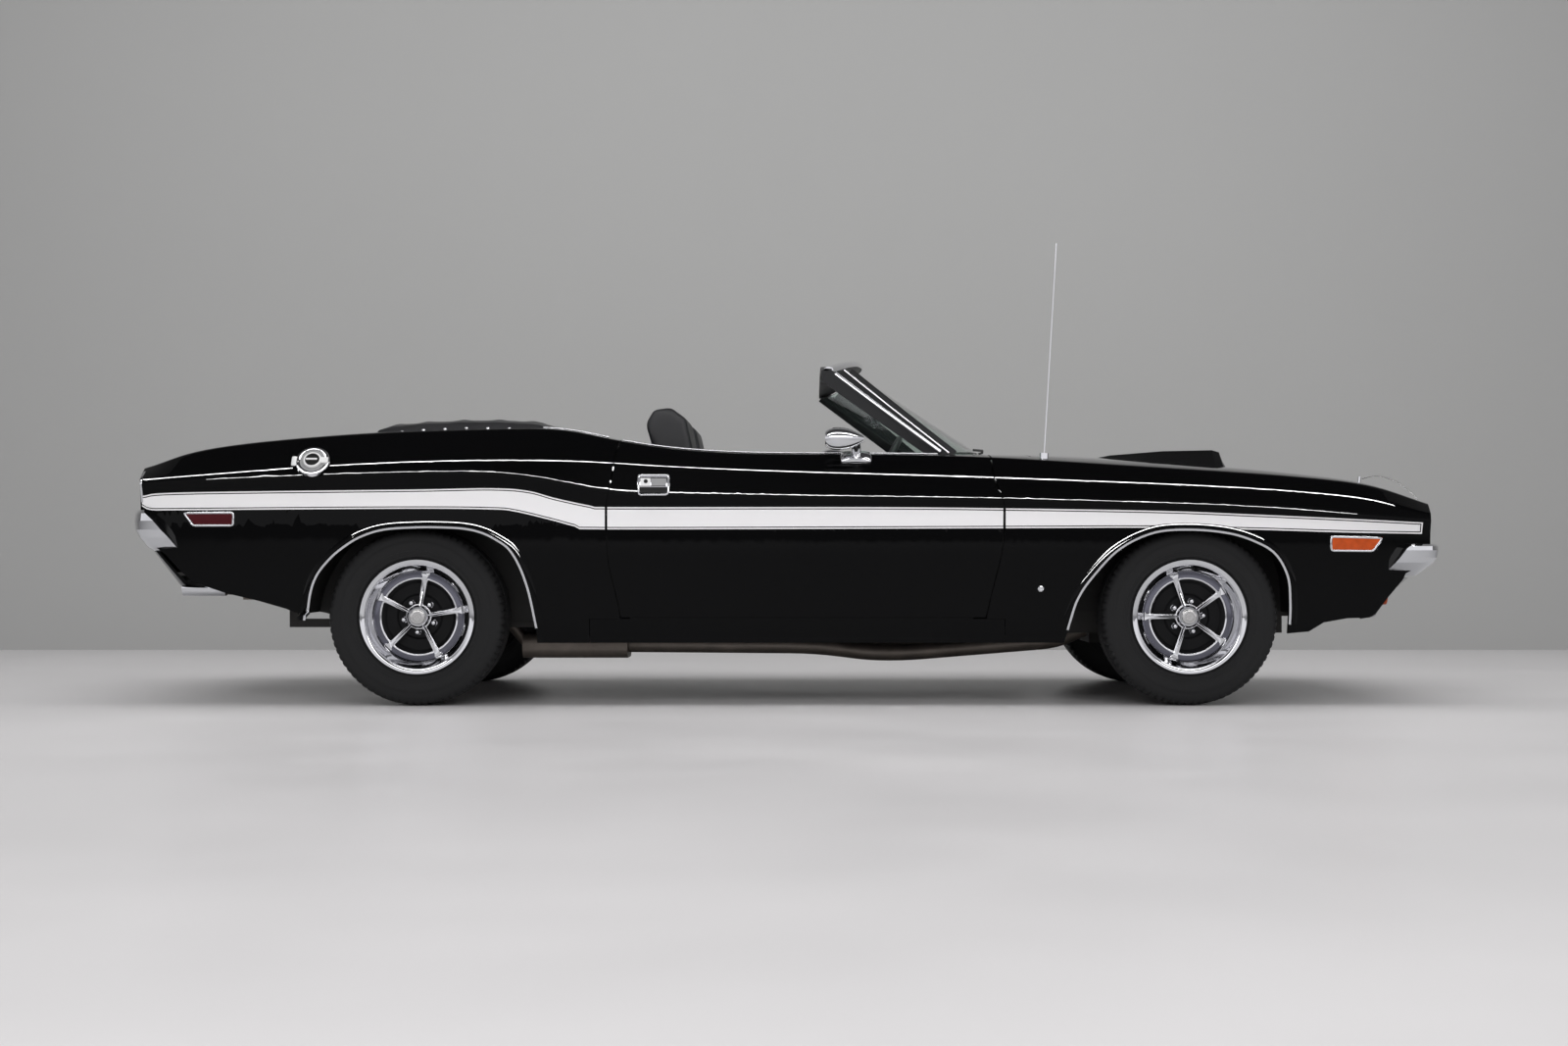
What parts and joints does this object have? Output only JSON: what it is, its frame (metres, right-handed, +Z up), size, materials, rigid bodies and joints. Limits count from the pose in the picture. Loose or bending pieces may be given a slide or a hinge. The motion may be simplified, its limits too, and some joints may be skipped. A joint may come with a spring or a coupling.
{
  "type": "two-door convertible muscle car",
  "caption": "Long-hooded two-door convertible car with swinging doors, lifting hood and boot lid, steered front wheels and a folded top under a cover.",
  "frame": {"origin": "on the ground, midway along the overall length and on the centre plane", "axes": "+X to the front of the car, +Y to its left, +Z up"},
  "size_m": [4.859, 1.927, 1.6808],
  "materials": {
    "body_paint": "gloss black paint",
    "structure": "satin black",
    "chrome": "polished",
    "tyre": "matt",
    "iron": "matt",
    "steel": "dull",
    "glass": "tinted clear",
    "lamp_glass": "clear",
    "amber": "gloss",
    "red": "gloss",
    "vinyl": "satin",
    "plastic": "matt"
  },
  "bodies": {
    "body": {"amber_lamps": "amber", "antenna": "chrome", "cabin_trim": "vinyl", "console": "plastic", "cowl": "body_paint", "dashboard": "plastic", "engine_and_gearbox": "iron", "exhaust": "steel", "fender_left": "body_paint", "fender_right": "body_paint", "floor_pan": "structure", "front_bumper": "chrome", "front_seats": "vinyl", "front_subframe": "iron", "front_valance": "body_paint", "fuel_neck": "chrome", "fuel_tank": "steel", "grille": "plastic", "headlamps": "lamp_glass", "inner_fenders": "structure", "nose_panel": "body_paint", "quarter_left": "body_paint", "quarter_right": "body_paint", "radiator": "structure", "rear_axle": "iron", "rear_bumper": "chrome", "rear_seat": "vinyl", "rear_valance": "body_paint", "reverse_lamp": "lamp_glass", "side_marker_lamps": "red", "sills": "body_paint", "tail_lamps": "red", "tail_panel": "body_paint", "top_boot": "vinyl", "trunk_floor": "structure", "windshield_frame": "chrome", "windshield_glass": "glass"},
    "door_right": {"door_right": "body_paint", "door_trim_right": "chrome"},
    "door_left": {"door_left": "body_paint", "door_trim_left": "chrome"},
    "hood": {"hood": "body_paint", "hood_pins": "chrome", "hood_lanyard_right": "steel", "hood_lanyard_left": "steel"},
    "decklid": {"decklid": "body_paint"},
    "fuel_cap": {"fuel_cap": "chrome"},
    "steering_wheel": {"steering_wheel": "plastic"},
    "knuckle_right": {"knuckle_right": "iron"},
    "knuckle_left": {"knuckle_left": "iron"},
    "wheel_front_right": {"rim_front_right": "chrome", "tyre_front_right": "tyre"},
    "wheel_front_left": {"rim_front_left": "chrome", "tyre_front_left": "tyre"},
    "wheel_rear_right": {"rim_rear_right": "chrome", "tyre_rear_right": "tyre"},
    "wheel_rear_left": {"rim_rear_left": "chrome", "tyre_rear_left": "tyre"}
  },
  "joints": [
    {"name": "steer_left", "type": "hinge", "parent": "body", "child": "knuckle_left", "pos_m": [1.4695, 0.7, 0.321], "axis": [0, 0, 1], "range_deg": [-28, 28]},
    {"name": "steer_right", "type": "hinge", "parent": "body", "child": "knuckle_right", "pos_m": [1.4695, -0.7, 0.321], "axis": [0, 0, 1], "range_deg": [-28, 28]},
    {"name": "steering_wheel_turn", "type": "hinge", "parent": "body", "child": "steering_wheel", "pos_m": [0.405, 0.37, 0.838], "axis": [-0.8829, 0, 0.4695], "range_deg": [-440, 440]},
    {"name": "front_right_wheel_spin", "type": "hinge", "parent": "knuckle_right", "child": "wheel_front_right", "pos_m": [1.4695, -0.758, 0.321], "axis": [0, 1, 0], "continuous": true},
    {"name": "front_left_wheel_spin", "type": "hinge", "parent": "knuckle_left", "child": "wheel_front_left", "pos_m": [1.4695, 0.758, 0.321], "axis": [0, 1, 0], "continuous": true},
    {"name": "rear_right_wheel_spin", "type": "hinge", "parent": "body", "child": "wheel_rear_right", "pos_m": [-1.3245, -0.771, 0.321], "axis": [0, 1, 0], "continuous": true},
    {"name": "rear_left_wheel_spin", "type": "hinge", "parent": "body", "child": "wheel_rear_left", "pos_m": [-1.3245, 0.771, 0.321], "axis": [0, 1, 0], "continuous": true},
    {"name": "door_right_swing", "type": "hinge", "parent": "body", "child": "door_right", "pos_m": [0.793, -0.9445, 0.676], "axis": [0, 0, 1], "range_deg": [0, 65]},
    {"name": "door_left_swing", "type": "hinge", "parent": "body", "child": "door_left", "pos_m": [0.793, 0.9445, 0.676], "axis": [0, 0, -1], "range_deg": [0, 65]},
    {"name": "hood_lift", "type": "hinge", "parent": "body", "child": "hood", "pos_m": [0.903, 0, 0.948], "axis": [0, -1, 0], "range_deg": [0, 48]},
    {"name": "decklid_lift", "type": "hinge", "parent": "body", "child": "decklid", "pos_m": [-1.5275, 0, 1.014], "axis": [0, 1, 0], "range_deg": [0, 60]},
    {"name": "fuel_cap_flip", "type": "hinge", "parent": "body", "child": "fuel_cap", "pos_m": [-1.751, -0.922, 0.876], "axis": [0, -0.5447, -0.8386], "range_deg": [0, 90]}
  ],
  "couplings": [
    {"joint": "steer_right", "follows": "steer_left", "ratio": 1},
    {"joint": "steering_wheel_turn", "follows": "steer_left", "ratio": 15.7}
  ]
}
